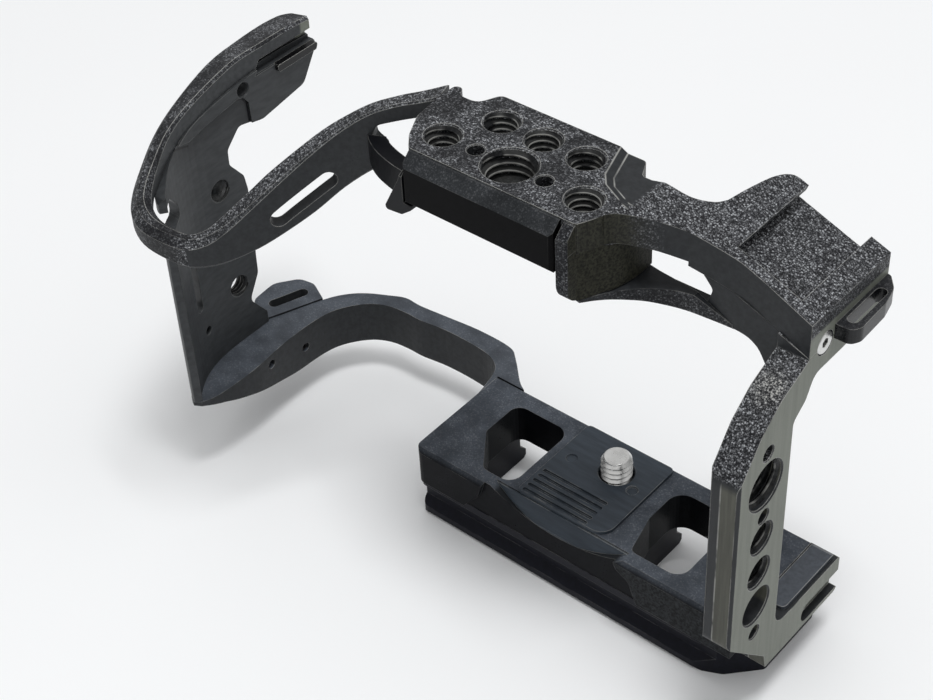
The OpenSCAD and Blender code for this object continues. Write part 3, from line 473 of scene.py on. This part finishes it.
class Anodised(Sheet):
    """Anodised aluminium: coarse blasted where it faces out, smooth where it was milled."""

    def __init__(self, tree, look, finish):
        super().__init__(tree)
        self.look = look
        self.finish = finish
        self.place = self.place_on_object()
        self.normal = self.place.other("Normal")
        self.x = self.node("ShaderNodeSeparateXYZ", None, {"Vector": self.place})
        self.y = self.x.other("Y")
        self.z = self.x.other("Z")
        self.patches = self.noise(self.place, PATCHES, 3, 0.6)
        self.streak = self.noise(self.scaled(self.place, look.streaks), STREAKS, 3, 0.6)
        self.mottle = self.noise(self.place, MOTTLE, 2, 0.6)
        self.upward = self.facing((UP,), 0.1, 0.4)
        self.find_regions()

    def facing(self, directions, low, high):
        """1 on the faces that look along one of the directions."""
        return reduce(or_, (self.along(self.normal, d).between(low, high) for d in directions))

    def beyond(self, limits):
        """1 beyond any of the limits."""
        return reduce(or_, (
            self.along(self.place, direction).between(start - BLUR, start + BLUR)
            for direction, start in limits
        ))

    def away_from(self, seams):
        """0 at the seams, where no edge shows, and 1 elsewhere."""
        return reduce(mul, (
            1 - self.along(self.place, direction).near(start, SEAM_REACH)
            for direction, start in seams
        ))

    def depth_inside(self, outline, side=False):
        """How far a point lies inside an outline, in plan or from the side, or less than 0.

        The outline is a row of points in millimetres, and its inside is on the left.
        """
        depths = []
        for (ax, ay), (bx, by) in zip(outline, outline[1:]):
            heading = Vector((bx - ax, by - ay)).normalized()
            inward = (0, -heading.y, heading.x) if side else (-heading.y, heading.x, 0)
            start = (heading.x * ay - heading.y * ax) * MM
            depths.append(self.along(self.place, inward) - start)
        return reduce(and_, depths)

    def find_regions(self):
        """Masks of the regions that the look asks for."""
        look = self.look
        if look.pale:
            self.paler = self.facing(look.pale, *SQUARE)
            if look.pale_limits:
                self.paler = self.paler * self.beyond(look.pale_limits)
        if look.strip:
            self.forward = self.facing((FRONT,), *SQUARE) * self.z.between(*STRIP_TOP)
        if look.patch:
            left, right, back = look.patch
            across = self.x.between(left, left + BLUR) * self.x.between(right, right - PATCH_FADE)
            self.on_patch = across * self.y.between(back, back - 2 * LINE) * (1 - self.upward)
        if look.facet:
            self.depth = self.depth_inside(FACET)
            self.on_facet = self.upward * self.x.between(FACET_END + MM, FACET_END)

    def grains(self, size):
        """Grains of every brightness, one to each cell of a cellular pattern."""
        ragged = self.noise(self.place, 1.7 / size, 1).other("Color")
        place = self.vector("ADD", self.place, self.scaled(ragged, (size * 0.9,) * 3))
        cell = self.node("ShaderNodeTexVoronoi", None, {"Vector": place, "Scale": 1 / size})
        chance = self.node("ShaderNodeSeparateColor", None, {"Color": cell.other("Color")})
        return chance.between(0.3, 1.05) * cell.between(0.7, 0.2)

    def pitted(self):
        """The coarse faces, with dark pits."""
        values = getattr(self.finish, self.look.coarse)
        return self.mix(
            self.mottle.between(0.34, 0.6),
            rgba(c * 0.3 for c in values), self.tones(self.streak, values, 0.8, 1.3),
        )

    def paint_recess_shade(self, metal):
        """Paints shade into the recess, which two sweeps of the cutter left, with a painted shadow
        line just inside its edge.
        """
        bend = RECESS_EDGE[SWEEPS_MEET][0] * MM
        right = self.y.between(bend - LINE, bend + LINE)
        sweeps = (
            (RECESS_EDGE[SWEEPS_MEET::-1], 1 - right), (RECESS_EDGE[:SWEEPS_MEET - 1:-1], right),
        )
        for edge, here in sweeps:
            depth = self.depth_inside(edge, side=True)
            line = depth.near(RECESS_LINE, RECESS_LINE_REACH)
            # Painted shade fades down from the edge, and a painted shadow line runs just inside it,
            # in the deep colour.
            painted_shade = depth.between(*RECESS_FADE) * 0.4 | line
            painted_shade = painted_shade * here * depth.between(-LINE, LINE)
            metal = self.mix(painted_shade, metal, rgba(self.finish.deep))
        return metal

    def smooth(self):
        """The milled faces, with what makes parts of them paler or darker."""
        look, finish = self.look, self.finish
        if look.milled == look.coarse:
            return self.pitted()
        metal = self.tones(self.streak, getattr(finish, look.milled), 0.8, 1.22)
        if look.inner:
            turned = 1 - self.facing((FRONT,), 0.5, 0.8)
            metal = self.mix(turned * look.inner, metal, rgba(finish.milled))
        if look.pale:
            metal = self.mix(self.paler, metal, self.tones(self.streak, finish.pale, 0.88, 1.1))
        if look.strip:
            strip = self.forward * self.x.between(look.strip - LINE, look.strip + LINE)
            metal = self.mix(strip, metal, self.tones(self.streak, finish.strip, 0.7, 1.25))
        # Painted shade in the recess below the liner's edge.
        if look.painted_recess_shade:
            metal = self.paint_recess_shade(metal)
        if look.patch:
            metal = self.mix(self.on_patch, metal, self.pitted())
        return metal

    def outside(self):
        """1 where the skin was left as it was blasted, and 0 where it was milled."""
        look = self.look
        left = self.facing(look.blasted, look.low, look.high)
        if look.limits:
            left = left * self.beyond(look.limits)
        if look.pale_limits:
            left = left * (1 - self.paler)
        if look.patch:
            left = left * (1 - self.on_patch)
        if look.facet:
            inside = self.depth.between(-FACET_RIM - LINE, -FACET_RIM)
            left = left * (1 - inside * self.on_facet)
        return left

    def worn_edges(self):
        """Bright lines along the edges, broken up by patches."""
        look = self.look
        broken = self.patches.between(look.spared, look.spared + SPARED_BLUR)
        rounded = self.bevel(self.finish.edge_radius * WORN_SHARE)
        turned = 1 - self.along(rounded, self.surface_normal())
        line = turned.between(*WORN_TURN) * broken
        wear = line * (self.upward * 0.5 + 0.5) * look.wear
        if look.facet:
            rim = self.depth.near(0, 2 * LINE) | self.depth.near(-FACET_RIM, 2 * LINE)
            wear = wear | rim * self.on_facet * self.patches.between(0.25, 0.5) * 0.6
        if look.strip:
            wear = wear | self.x.near(look.strip, 2 * LINE) * self.forward * broken * 0.5
        return wear

    def build(self):
        """Puts the finish together."""
        look, finish = self.look, self.finish
        metal = self.smooth()
        gloss = self.noise(self.place, SMUDGES, 2) * 0.12 + (look.roughness - 0.06)
        lift = self.mottle * (look.grit * 0.12)
        wear = self.worn_edges()
        edge = self.bevel(finish.edge_radius)
        if look.blasted:
            outside = self.outside()
            cloud = self.patches.between(0.38, 0.62) * look.cloud + (1 - look.cloud)
            speck = self.grains(finish.speck_size) * cloud
            fine = self.grains(finish.speck_size * FINE_SIZE) * cloud
            grain = speck | fine * FINE_BRIGHTNESS
            dark = self.tones(self.patches, getattr(finish, look.skin), 0.75, 1.4)
            skin = self.mix(grain * look.specks, dark, rgba(finish.speck))
            metal = self.mix(outside, metal, skin)
            gloss = gloss + outside * 0.08 - speck * 0.15
            lift = lift + outside * (self.mottle * 0.7 + speck * 0.9)
            # A painted highlight: bright worn grains in a spot on the side plate's bend, where the
            # lamp's reflection falls.
            if look.glint_and_wear:
                reach = self.vector("DISTANCE", self.place, look.glint_and_wear, NUMBER)
                wear = wear | reach.between(*PAINTED_GLINT_SPOT) * outside * grain * 1.5
        if look.seams:
            whole = self.away_from(look.seams)
            wear = wear * whole
            edge = self.node(
                "ShaderNodeMix", {"data_type": "VECTOR"},
                {0: whole, 4: self.surface_normal(), 5: edge}, MIXED_VECTOR,
            )
        self.shade({
            "Base Color": self.mix(wear, metal, rgba(finish.worn)),
            "Roughness": gloss - wear * 0.15,
            "Specular IOR Level": look.gloss,
            "Normal": self.bump(lift, RELIEF_SHOWN, RELIEF, edge),
        })


def paint(names, material):
    """Puts one material on all faces of the nodes."""
    for name in names:
        mesh = frame["nodes"][name].data
        mesh.materials.clear()
        mesh.materials.append(material)


# How many tool rings and smudges the steel has to the metre, and how the rings lie flat.
STEEL_RINGS, STEEL_SMUDGES = 4000, 420
FLAT_RINGS = (0.15, 0.15, 1)


def polished_steel(name, tint, roughness, oxide=0):
    """Turned steel with fine rings from the tool, a few smudges and a share of oxide."""
    material, sheet = new_sheet(name)
    place = sheet.place_on_object()
    ring = sheet.noise(sheet.scaled(place, FLAT_RINGS), STEEL_RINGS, 2)
    smudge = sheet.noise(place, STEEL_SMUDGES, 3)
    sheet.shade({
        "Base Color": sheet.tones(smudge, tint, 0.86, 1.08, 0.3),
        "Metallic": 1 - oxide,
        "Roughness": smudge * 0.16 + roughness,
        "Normal": sheet.bump(ring, 0.2, 0.03 * MM, sheet.bevel(0.08 * MM, 4)),
    })
    return material


class CAGE_OT_finish_body(bpy.types.Operator):
    """Give every machined part of the cage its anodised finish"""

    bl_idname = "cage.finish_body"
    bl_label = "Finish the body"

    def execute(self, context):
        finish = context.scene.cage_finish
        for name, look in LOOKS.items():
            material, sheet = new_sheet(f"{name}_metal", Anodised, look, finish)
            sheet.build()
            paint(look.nodes, material)
        return {"FINISHED"}


BLACK_SCREWS = (
    "foot_screw_front_left", "foot_screw_front_right", "foot_screw_rear_left",
    "foot_screw_rear_right", "arm_set_screw_front", "arm_set_screw_rear",
)
SPRING_TINT = (0.3, 0.3, 0.31)


class CAGE_OT_finish_screws(bpy.types.Operator):
    """Give the small screws and the spring clip their steel"""

    bl_idname = "cage.finish_screws"
    bl_label = "Finish the small screws"

    def execute(self, context):
        finish = context.scene.cage_finish
        paint(BLACK_SCREWS, polished_steel("black_oxide_steel", finish.black_steel, 0.34, 0.5))
        paint(["screw_retainer"], polished_steel("spring_steel", SPRING_TINT, 0.3))
        paint(["lug_screw"], polished_steel("lug_steel", finish.steel, 0.26))
        paint(["camera_screw"], polished_steel("screw_steel_core", finish.steel, 0.24))
        return {"FINISHED"}


# ---- Threads ----


# Points round a bore, and where round it the top turn of a thread runs out.
BORE_POINTS = 48
THREAD_END = radians(200)
# How far the threads' pieces go into the metal, so that no light shows behind them.
BURIED = 0.04 * MM
# The ridge of a thread in section, from one flank to the other: depths below its crest as
# shares of its own depth, and heights as shares of its pitch.
RIDGE = ((1, -0.46), (0, -0.06), (0, 0.06), (0.2, 0.14), (1, 0.46))
# The numbers of the ridge's sides that take the crest's metal, bright with bare metal and a painted
# glint: the crest and the small chamfer that faces up.
GLINT_SIDES = (1, 2)
# The share of the ridge's height to which it fades at both ends of its path.
FADED = 0.02
# A thread's path is as long as its hole, less a share of its pitch and plus a little.
RUN_OUT = 0.6
RUN_PAST = 0.1 * MM
# The threaded holes that don't show through, and how far in from its end their floor lies.
BLIND_HOLES = ("top_three_eighths", "wall_thread_upper")
BLIND_FLOOR = 0.6 * MM
# The thickness of a blind hole's floor and how deep its cone is, as a share of its radius.
FLOOR_THICKNESS = 0.3 * MM
CONE = 0.3
# Holes wider than these radii take the three eighths and the quarter inch thread.
THREE_EIGHTHS_RADIUS, QUARTER_RADIUS = 4 * MM, 3 * MM
# How many streaks, and patches of bare metal and painted glint, the threads have to the metre.
THREAD_STREAKS, THREAD_PATCHES = 1200, 260


def thread_metal(name, finish, glint_and_wear_share):
    """The cut faces of a thread: dark, with bare metal in places. On the crest the bright share is
    a painted glint as well.
    """
    material, sheet = new_sheet(name)
    place = sheet.place_on_object()
    streak = sheet.noise(place, THREAD_STREAKS, 2)
    glint_and_wear = sheet.noise(place, THREAD_PATCHES).between(0.38, 0.6)
    tone = sheet.tones(streak, finish.milled, 0.2, 0.55, 0.3)
    sheet.shade({
        "Base Color": sheet.mix(glint_and_wear * glint_and_wear_share, tone, rgba(finish.worn)),
        "Roughness": streak * 0.1 + 0.22,
        "Specular IOR Level": 0.1,
    })
    return material


def new_piece(name, mesh_data, *materials):
    """Makes an object of a mesh and puts it in the scene."""
    mesh = bpy.data.meshes.new(name)
    mesh_data.to_mesh(mesh)
    mesh_data.free()
    for material in materials:
        mesh.materials.append(material)
    piece = bpy.data.objects.new(name, mesh)
    bpy.context.scene.collection.objects.link(piece)
    return piece


def outward(mesh):
    """Turns every face of a closed mesh outwards."""
    bmesh.ops.recalc_face_normals(mesh, faces=mesh.faces)
    return mesh


def join_rings(mesh, first, second):
    """Bridges two rings of points and returns the faces, one to each pair of neighbours."""
    count = len(first)
    return [
        mesh.faces.new((first[a], first[(a + 1) % count], second[(a + 1) % count], second[a]))
        for a in range(count)
    ]


def helix(radius, crest, pitch, extent):
    """A closed ridge that winds up the inside of a bore, fading in and out at its ends.

    Its crest takes the second material, which carries the painted glint.
    """
    mesh = bmesh.new()
    buried = radius + BURIED
    count = int(BORE_POINTS * (extent + RUN_PAST - RUN_OUT * pitch) / pitch)
    fade = BORE_POINTS // 6
    previous = None
    for i in range(count + 1):
        turn = tau * (i - count) / BORE_POINTS + THREAD_END
        middle = pitch * (i - count / 2) / BORE_POINTS
        grown = min(1, i / fade, (count - i) / fade)
        tip = radius + (crest - radius) * max(grown, FADED)
        ring = []
        for depth, height in RIDGE:
            r = tip + (buried - tip) * depth
            ring.append(mesh.verts.new((r * cos(turn), r * sin(turn), middle + pitch * height)))
        if previous:
            for a, side in enumerate(join_rings(mesh, previous, ring)):
                side.material_index = int(a in GLINT_SIDES)
        else:
            mesh.faces.new(reversed(ring))
        previous = ring
    mesh.faces.new(previous)
    return outward(mesh)


def circle(mesh, radii, height):
    """A ring of points round the Z axis, one to each radius."""
    turns = [tau * i / len(radii) for i in range(len(radii))]
    return [
        mesh.verts.new((r * cos(turn), r * sin(turn), height)) for r, turn in zip(radii, turns)
    ]


def drill_point(radius):
    """The thin conical floor of a hole that doesn't go through."""
    mesh = bmesh.new()
    rims = []
    for height in (0, -FLOOR_THICKNESS):
        rim = circle(mesh, [radius] * BORE_POINTS, height)
        point = mesh.verts.new((0, 0, height - CONE * radius))
        for i in range(BORE_POINTS):
            mesh.faces.new((rim[i], rim[(i + 1) % BORE_POINTS], point))
        rims.append(rim)
    join_rings(mesh, rims[1], rims[0])
    return outward(mesh)


def threaded_holes():
    """The record's threaded holes: name, middle, axis, radius and depth."""
    for mount in frame["record"]["mounts"]:
        if mount["kind"] == "threaded_hole":
            dims = mount["dims"]
            yield (
                mount["name"], Vector(mount["pos_m"]), Vector(mount["axis"]),
                dims["r_mm"] * MM, dims["length_mm"] * MM,
            )


class CAGE_OT_cut_threads(bpy.types.Operator):
    """Wind a thread up every threaded hole of the cage"""

    bl_idname = "cage.cut_threads"
    bl_label = "Cut the threads"

    def execute(self, context):
        sizes = context.scene.cage_threads
        finish = context.scene.cage_finish
        flank = thread_metal("thread_flank", finish, 0.06)
        # The crest's bright patches are bare metal and a painted glint.
        crest = thread_metal("thread_crest", finish, 0.55)
        for name, middle, axis, radius, extent in threaded_holes():
            pitch = sizes.wall_pitch
            if radius > THREE_EIGHTHS_RADIUS:
                pitch = sizes.three_eighths_pitch
            elif radius > QUARTER_RADIUS:
                pitch = sizes.quarter_pitch
            ridge = helix(radius, radius - sizes.depth * pitch, pitch, extent)
            turn = Vector(UP).rotation_difference(axis).to_matrix().to_4x4()
            ridge.transform(Matrix.Translation(middle) @ turn)
            pieces = [new_piece(f"thread_{name}", ridge, flank, crest)]
            if name in BLIND_HOLES:
                floor = drill_point(radius + BURIED)
                place = middle - axis * (extent / 2 - BLIND_FLOOR)
                floor.transform(Matrix.Translation(place) @ turn)
                pieces.append(new_piece(f"floor_{name}", floor, flank))
            for piece in pieces:
                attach(piece, "cage")
        return {"FINISHED"}


# ---- Camera screw ----


# The camera screw's radii, and its head's height with the chamfers under and over it.
CREST, HEAD, SHANK, NECK = 3.175 * MM, 4.6 * MM, 2.9 * MM, 2.5 * MM
HEAD_HEIGHT, HEAD_FOOT, HEAD_BROW = 3 * MM, 0.45 * MM, 0.35 * MM
# The heights at which the shank and the neck end. The thread begins where the neck ends.
SHANK_TOP, NECK_TOP = -6.3 * MM, -5.34 * MM
# The chamfer at the screw's point, how steep it is, and the rings of its flat end.
POINT, POINT_SLOPE = 0.75 * MM, 0.95
END_RADII = (1.6 * MM, 0.6 * MM)
# Points round the screw, and rings up its thread.
SCREW_POINTS, THREAD_RINGS = 72, 84
# How steeply the flanks of the thread rise, and how far under its root they would begin.
FLANK_SLOPE, FLANK_START = 2.6, 0.2
# The depth of the knurl.
KNURL = 0.1 * MM
# The block that cuts the coin slot, and how far above the head's underside its middle is.
SLOT_LENGTH, SLOT_WIDTH, SLOT_HEIGHT = 12 * MM, 1.4 * MM, 2.8 * MM
SLOT_MIDDLE = 0.1 * MM
# The ways a ring of the screw is cut.
PLAIN, THREADED, KNURLED = range(3)


def screw_profile(low, high):
    """Heights and radii up the camera screw, with the way each ring is cut."""
    brow = low + HEAD_HEIGHT
    rows = [
        (low, HEAD - HEAD_FOOT, PLAIN), (low + HEAD_FOOT, HEAD, KNURLED),
        (brow - HEAD_BROW, HEAD, KNURLED), (brow, HEAD - HEAD_BROW, PLAIN),
        (brow, SHANK, PLAIN), (SHANK_TOP, SHANK, PLAIN), (SHANK_TOP, NECK, PLAIN),
        (NECK_TOP, NECK, PLAIN),
    ]
    for i in range(THREAD_RINGS + 1):
        z = NECK_TOP + (high - NECK_TOP) * i / THREAD_RINGS
        rows.append((z, CREST - max(0, z - high + POINT) * POINT_SLOPE, THREADED))
    return rows + [(high, radius, PLAIN) for radius in END_RADII]


def turned_screw(low, high, pitch, depth):
    """The camera screw as one closed turned surface with a wound thread."""
    mesh = bmesh.new()
    previous = None
    for z, radius, cut in screw_profile(low, high):
        radii = [radius] * SCREW_POINTS
        for i in range(SCREW_POINTS):
            if cut == THREADED:
                wave = (z / pitch - i / SCREW_POINTS) % 1
                ridge = min(1, max(0, FLANK_SLOPE * abs(wave - 0.5) - FLANK_START))
                radii[i] = min(radius, CREST - depth * (1 - ridge))
            elif cut == KNURLED:
                radii[i] -= KNURL * (i % 2)
        ring = circle(mesh, radii, z)
        if previous:
            join_rings(mesh, previous, ring)
        else:
            mesh.faces.new(reversed(ring))
        previous = ring
    mesh.faces.new(previous)
    return outward(mesh)


def carve(piece, operation, cutter):
    """Applies one boolean to a piece."""
    cut = piece.modifiers.new(operation, "BOOLEAN")
    cut.operation = operation
    cut.object = cutter
    cut.solver = "EXACT"
    bpy.context.view_layer.update()
    shown = piece.evaluated_get(bpy.context.evaluated_depsgraph_get())
    finished = bpy.data.meshes.new_from_object(shown)
    piece.modifiers.clear()
    piece.data = finished


def cut_slot(piece, low):
    """Cuts the coin slot across the underside of the screw's head."""
    mesh = bmesh.new()
    size = Matrix.Diagonal((SLOT_LENGTH, SLOT_WIDTH, SLOT_HEIGHT, 1))
    bmesh.ops.create_cube(
        mesh, size=1, matrix=Matrix.Translation((0, 0, low + SLOT_MIDDLE)) @ size
    )
    cutter = new_piece("slot_cutter", mesh, piece.data.materials[0])
    carve(piece, "DIFFERENCE", cutter)
    bpy.data.objects.remove(cutter)


class CAGE_OT_camera_screw(bpy.types.Operator):
    """Turn the slotted camera screw with its thread"""

    bl_idname = "cage.camera_screw"
    bl_label = "Turn the camera screw"

    def execute(self, context):
        sizes = context.scene.cage_threads
        finish = context.scene.cage_finish
        low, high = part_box("camera_screw")
        body = turned_screw(
            low.z, high.z, sizes.quarter_pitch, sizes.depth * sizes.quarter_pitch
        )
        piece = new_piece(
            "threaded_camera_screw", body, polished_steel("screw_steel", finish.steel, 0.2)
        )
        cut_slot(piece, low.z)
        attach(piece, "screw")
        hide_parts("camera_screw")
        return {"FINISHED"}


# ---- Liner of the grip wall ----


# How far the liner stands out, and its outline along Y and Z in millimetres.
LINER_RISE = 0.5 * MM
LINER = [*RECESS_EDGE, (-5.3, 46), (14, 46), (14, 61), (-36, 61)]


def prism(outline, low, high):
    """A solid with an outline in Y and Z, from low to high along X."""
    mesh = bmesh.new()
    ends = [[mesh.verts.new((x, y * MM, z * MM)) for y, z in outline] for x in (low, high)]
    for end in ends:
        mesh.faces.new(end)
    join_rings(mesh, *ends)
    return outward(mesh)


class CAGE_OT_wall_liner(bpy.types.Operator):
    """Raise the smooth upper part of the grip wall's inner side"""

    bl_idname = "cage.wall_liner"
    bl_label = "Raise the wall's liner"

    def execute(self, context):
        wall = frame["nodes"]["grip_wall"]
        low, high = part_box("grip_wall")
        metal = wall.data.materials[0]
        raised = bmesh.new()
        raised.from_mesh(wall.data)
        raised.transform(Matrix.Translation((LINER_RISE, 0, 0)))
        piece = new_piece("wall_liner", raised, metal)
        outline = new_piece("liner_outline", prism(LINER, low.x - MM, high.x + MM), metal)
        carve(piece, "INTERSECT", outline)
        carve(piece, "DIFFERENCE", wall)
        bpy.data.objects.remove(outline)
        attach(piece, "cage")
        return {"FINISHED"}


# ---- Blend in the base's scoop ----


# The slope under the pad's front edge, along Y and Z in millimetres, and its ends along X.
SLOPE = [(-14.9, -1), (-14.9, -5.6), (-17.35, -5.6), (-17.35, -4.5), (-16.6, -3.1), (-15.6, -1)]
SLOPE_ENDS = (-19 * MM, 15.5 * MM)


class CAGE_OT_scoop_slope(bpy.types.Operator):
    """Soften the wall behind the scoop in the base's front edge"""

    bl_idname = "cage.scoop_slope"
    bl_label = "Blend the scoop's wall"

    def execute(self, context):
        pad = frame["nodes"]["seat_pad"]
        piece = new_piece("scoop_slope", prism(SLOPE, *SLOPE_ENDS), pad.data.materials[0])
        carve(piece, "DIFFERENCE", frame["nodes"]["base_plate"])
        carve(piece, "DIFFERENCE", pad)
        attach(piece, "cage")
        return {"FINISHED"}


# ---- Studio ----


# Half the width of the floor.
FLOOR_HALF = 6
# Where the lamp above hangs, and the point that it shines at.
LAMP, LAMP_AIM = (0.16, -0.06, 1.0), (-0.02, 0, 0)
# The camera, as the photograph's lines give it: lens and sensor in millimetres, place in
# metres and turn in degrees.
LENS, SENSOR = 73.618, 36
EYE = (0.15820, -0.21489, 0.26501)
EYE_TURN = (48.9055, 2.5141, 40.1967)


class CAGE_OT_stage(bpy.types.Operator):
    """Set up the floor, the light and the camera"""

    bl_idname = "cage.stage"
    bl_label = "Set up the studio"

    def execute(self, context):
        studio = context.scene.cage_studio
        self.floor(studio)
        self.light(context.scene, studio)
        self.camera(context.scene)
        context.scene.view_settings.view_transform = "Standard"
        return {"FINISHED"}

    def floor(self, studio):
        material, sheet = new_sheet("pale_floor")
        cloud = sheet.noise(sheet.place_on_object(), 6, 2)
        tone = sheet.tones(cloud, studio.floor, 0.985, 1, 0.3)
        sheet.shade({"Base Color": tone, "Roughness": 0.9, "Specular IOR Level": 0.1})
        mesh = bmesh.new()
        bmesh.ops.create_grid(mesh, x_segments=8, y_segments=8, size=FLOOR_HALF)
        ground = Vector((0, 0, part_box("quick_release_foot")[0].z))
        bmesh.ops.translate(mesh, vec=ground, verts=mesh.verts)
        new_piece("floor", mesh, material)

    def light(self, scene, studio):
        lamp = bpy.data.lights.new("key", "AREA")
        lamp.energy = studio.key
        lamp.size = studio.key_size
        above = bpy.data.objects.new("key", lamp)
        above.location = LAMP
        aim = Vector(LAMP_AIM) - above.location
        above.rotation_euler = aim.to_track_quat("-Z", "Y").to_euler()
        scene.collection.objects.link(above)

        world = bpy.data.worlds.new("soft_sky")
        world.use_nodes = True
        scene.world = world
        sheet = Sheet(world.node_tree)
        seen = sheet.node("ShaderNodeLightPath")
        clear = sheet.node("ShaderNodeBackground", None, {"Color": rgba(studio.floor)})
        heading = sheet.node("ShaderNodeTexCoord")
        height = sheet.node("ShaderNodeSeparateXYZ", None, {"Vector": heading}).other("Z")
        even = sheet.node(
            "ShaderNodeBackground", None,
            {"Color": (1, 1, 1, 1), "Strength": height * studio.overhead + studio.sky},
        )
        shown = sheet.node("ShaderNodeMixShader", None, {0: seen, 1: even, 2: clear})
        sheet.node("ShaderNodeOutputWorld", None, {"Surface": shown})

    def camera(self, scene):
        lens = bpy.data.cameras.new("camera")
        lens.sensor_width = SENSOR
        lens.lens = LENS
        holder = bpy.data.objects.new("camera", lens)
        holder.location = EYE
        holder.rotation_euler = Euler([radians(a) for a in EYE_TURN])
        scene.collection.objects.link(holder)
        scene.camera = holder


# ---- Sidebar ----


STEPS = (
    CAGE_OT_finish_body, CAGE_OT_finish_screws, CAGE_OT_cut_threads, CAGE_OT_camera_screw,
    CAGE_OT_wall_liner, CAGE_OT_scoop_slope, CAGE_OT_stage,
)


class CAGE_PT_sidebar(bpy.types.Panel):
    """Lists the steps that build the cage's looks"""

    bl_idname = "CAGE_PT_sidebar"
    bl_label = "Camera cage"
    bl_space_type = "VIEW_3D"
    bl_region_type = "UI"
    bl_category = "Cage"

    def draw(self, context):
        column = self.layout.column(align=True)
        for step in STEPS:
            column.operator(step.bl_idname)
        for group in SETTINGS:
            box = self.layout.box()
            for name in SETTINGS[group].__annotations__:
                box.prop(getattr(context.scene, group), name)


SETTINGS = {
    "cage_finish": CageFinishSettings,
    "cage_threads": CageThreadSettings,
    "cage_studio": CageStudioSettings,
}
CLASSES = (*SETTINGS.values(), *STEPS, CAGE_PT_sidebar)


def register():
    for kind in CLASSES:
        bpy.utils.register_class(kind)
    for name, group in SETTINGS.items():
        setattr(bpy.types.Scene, name, bpy.props.PointerProperty(type=group))


def unregister():
    for name in SETTINGS:
        delattr(bpy.types.Scene, name)
    for kind in reversed(CLASSES):
        bpy.utils.unregister_class(kind)


def main():
    register()
    bpy.ops.cage.finish_body()
    bpy.ops.cage.finish_screws()
    bpy.ops.cage.cut_threads()
    bpy.ops.cage.camera_screw()
    bpy.ops.cage.wall_liner()
    bpy.ops.cage.scoop_slope()
    bpy.ops.cage.stage()


if __name__ == "__main__":
    main()
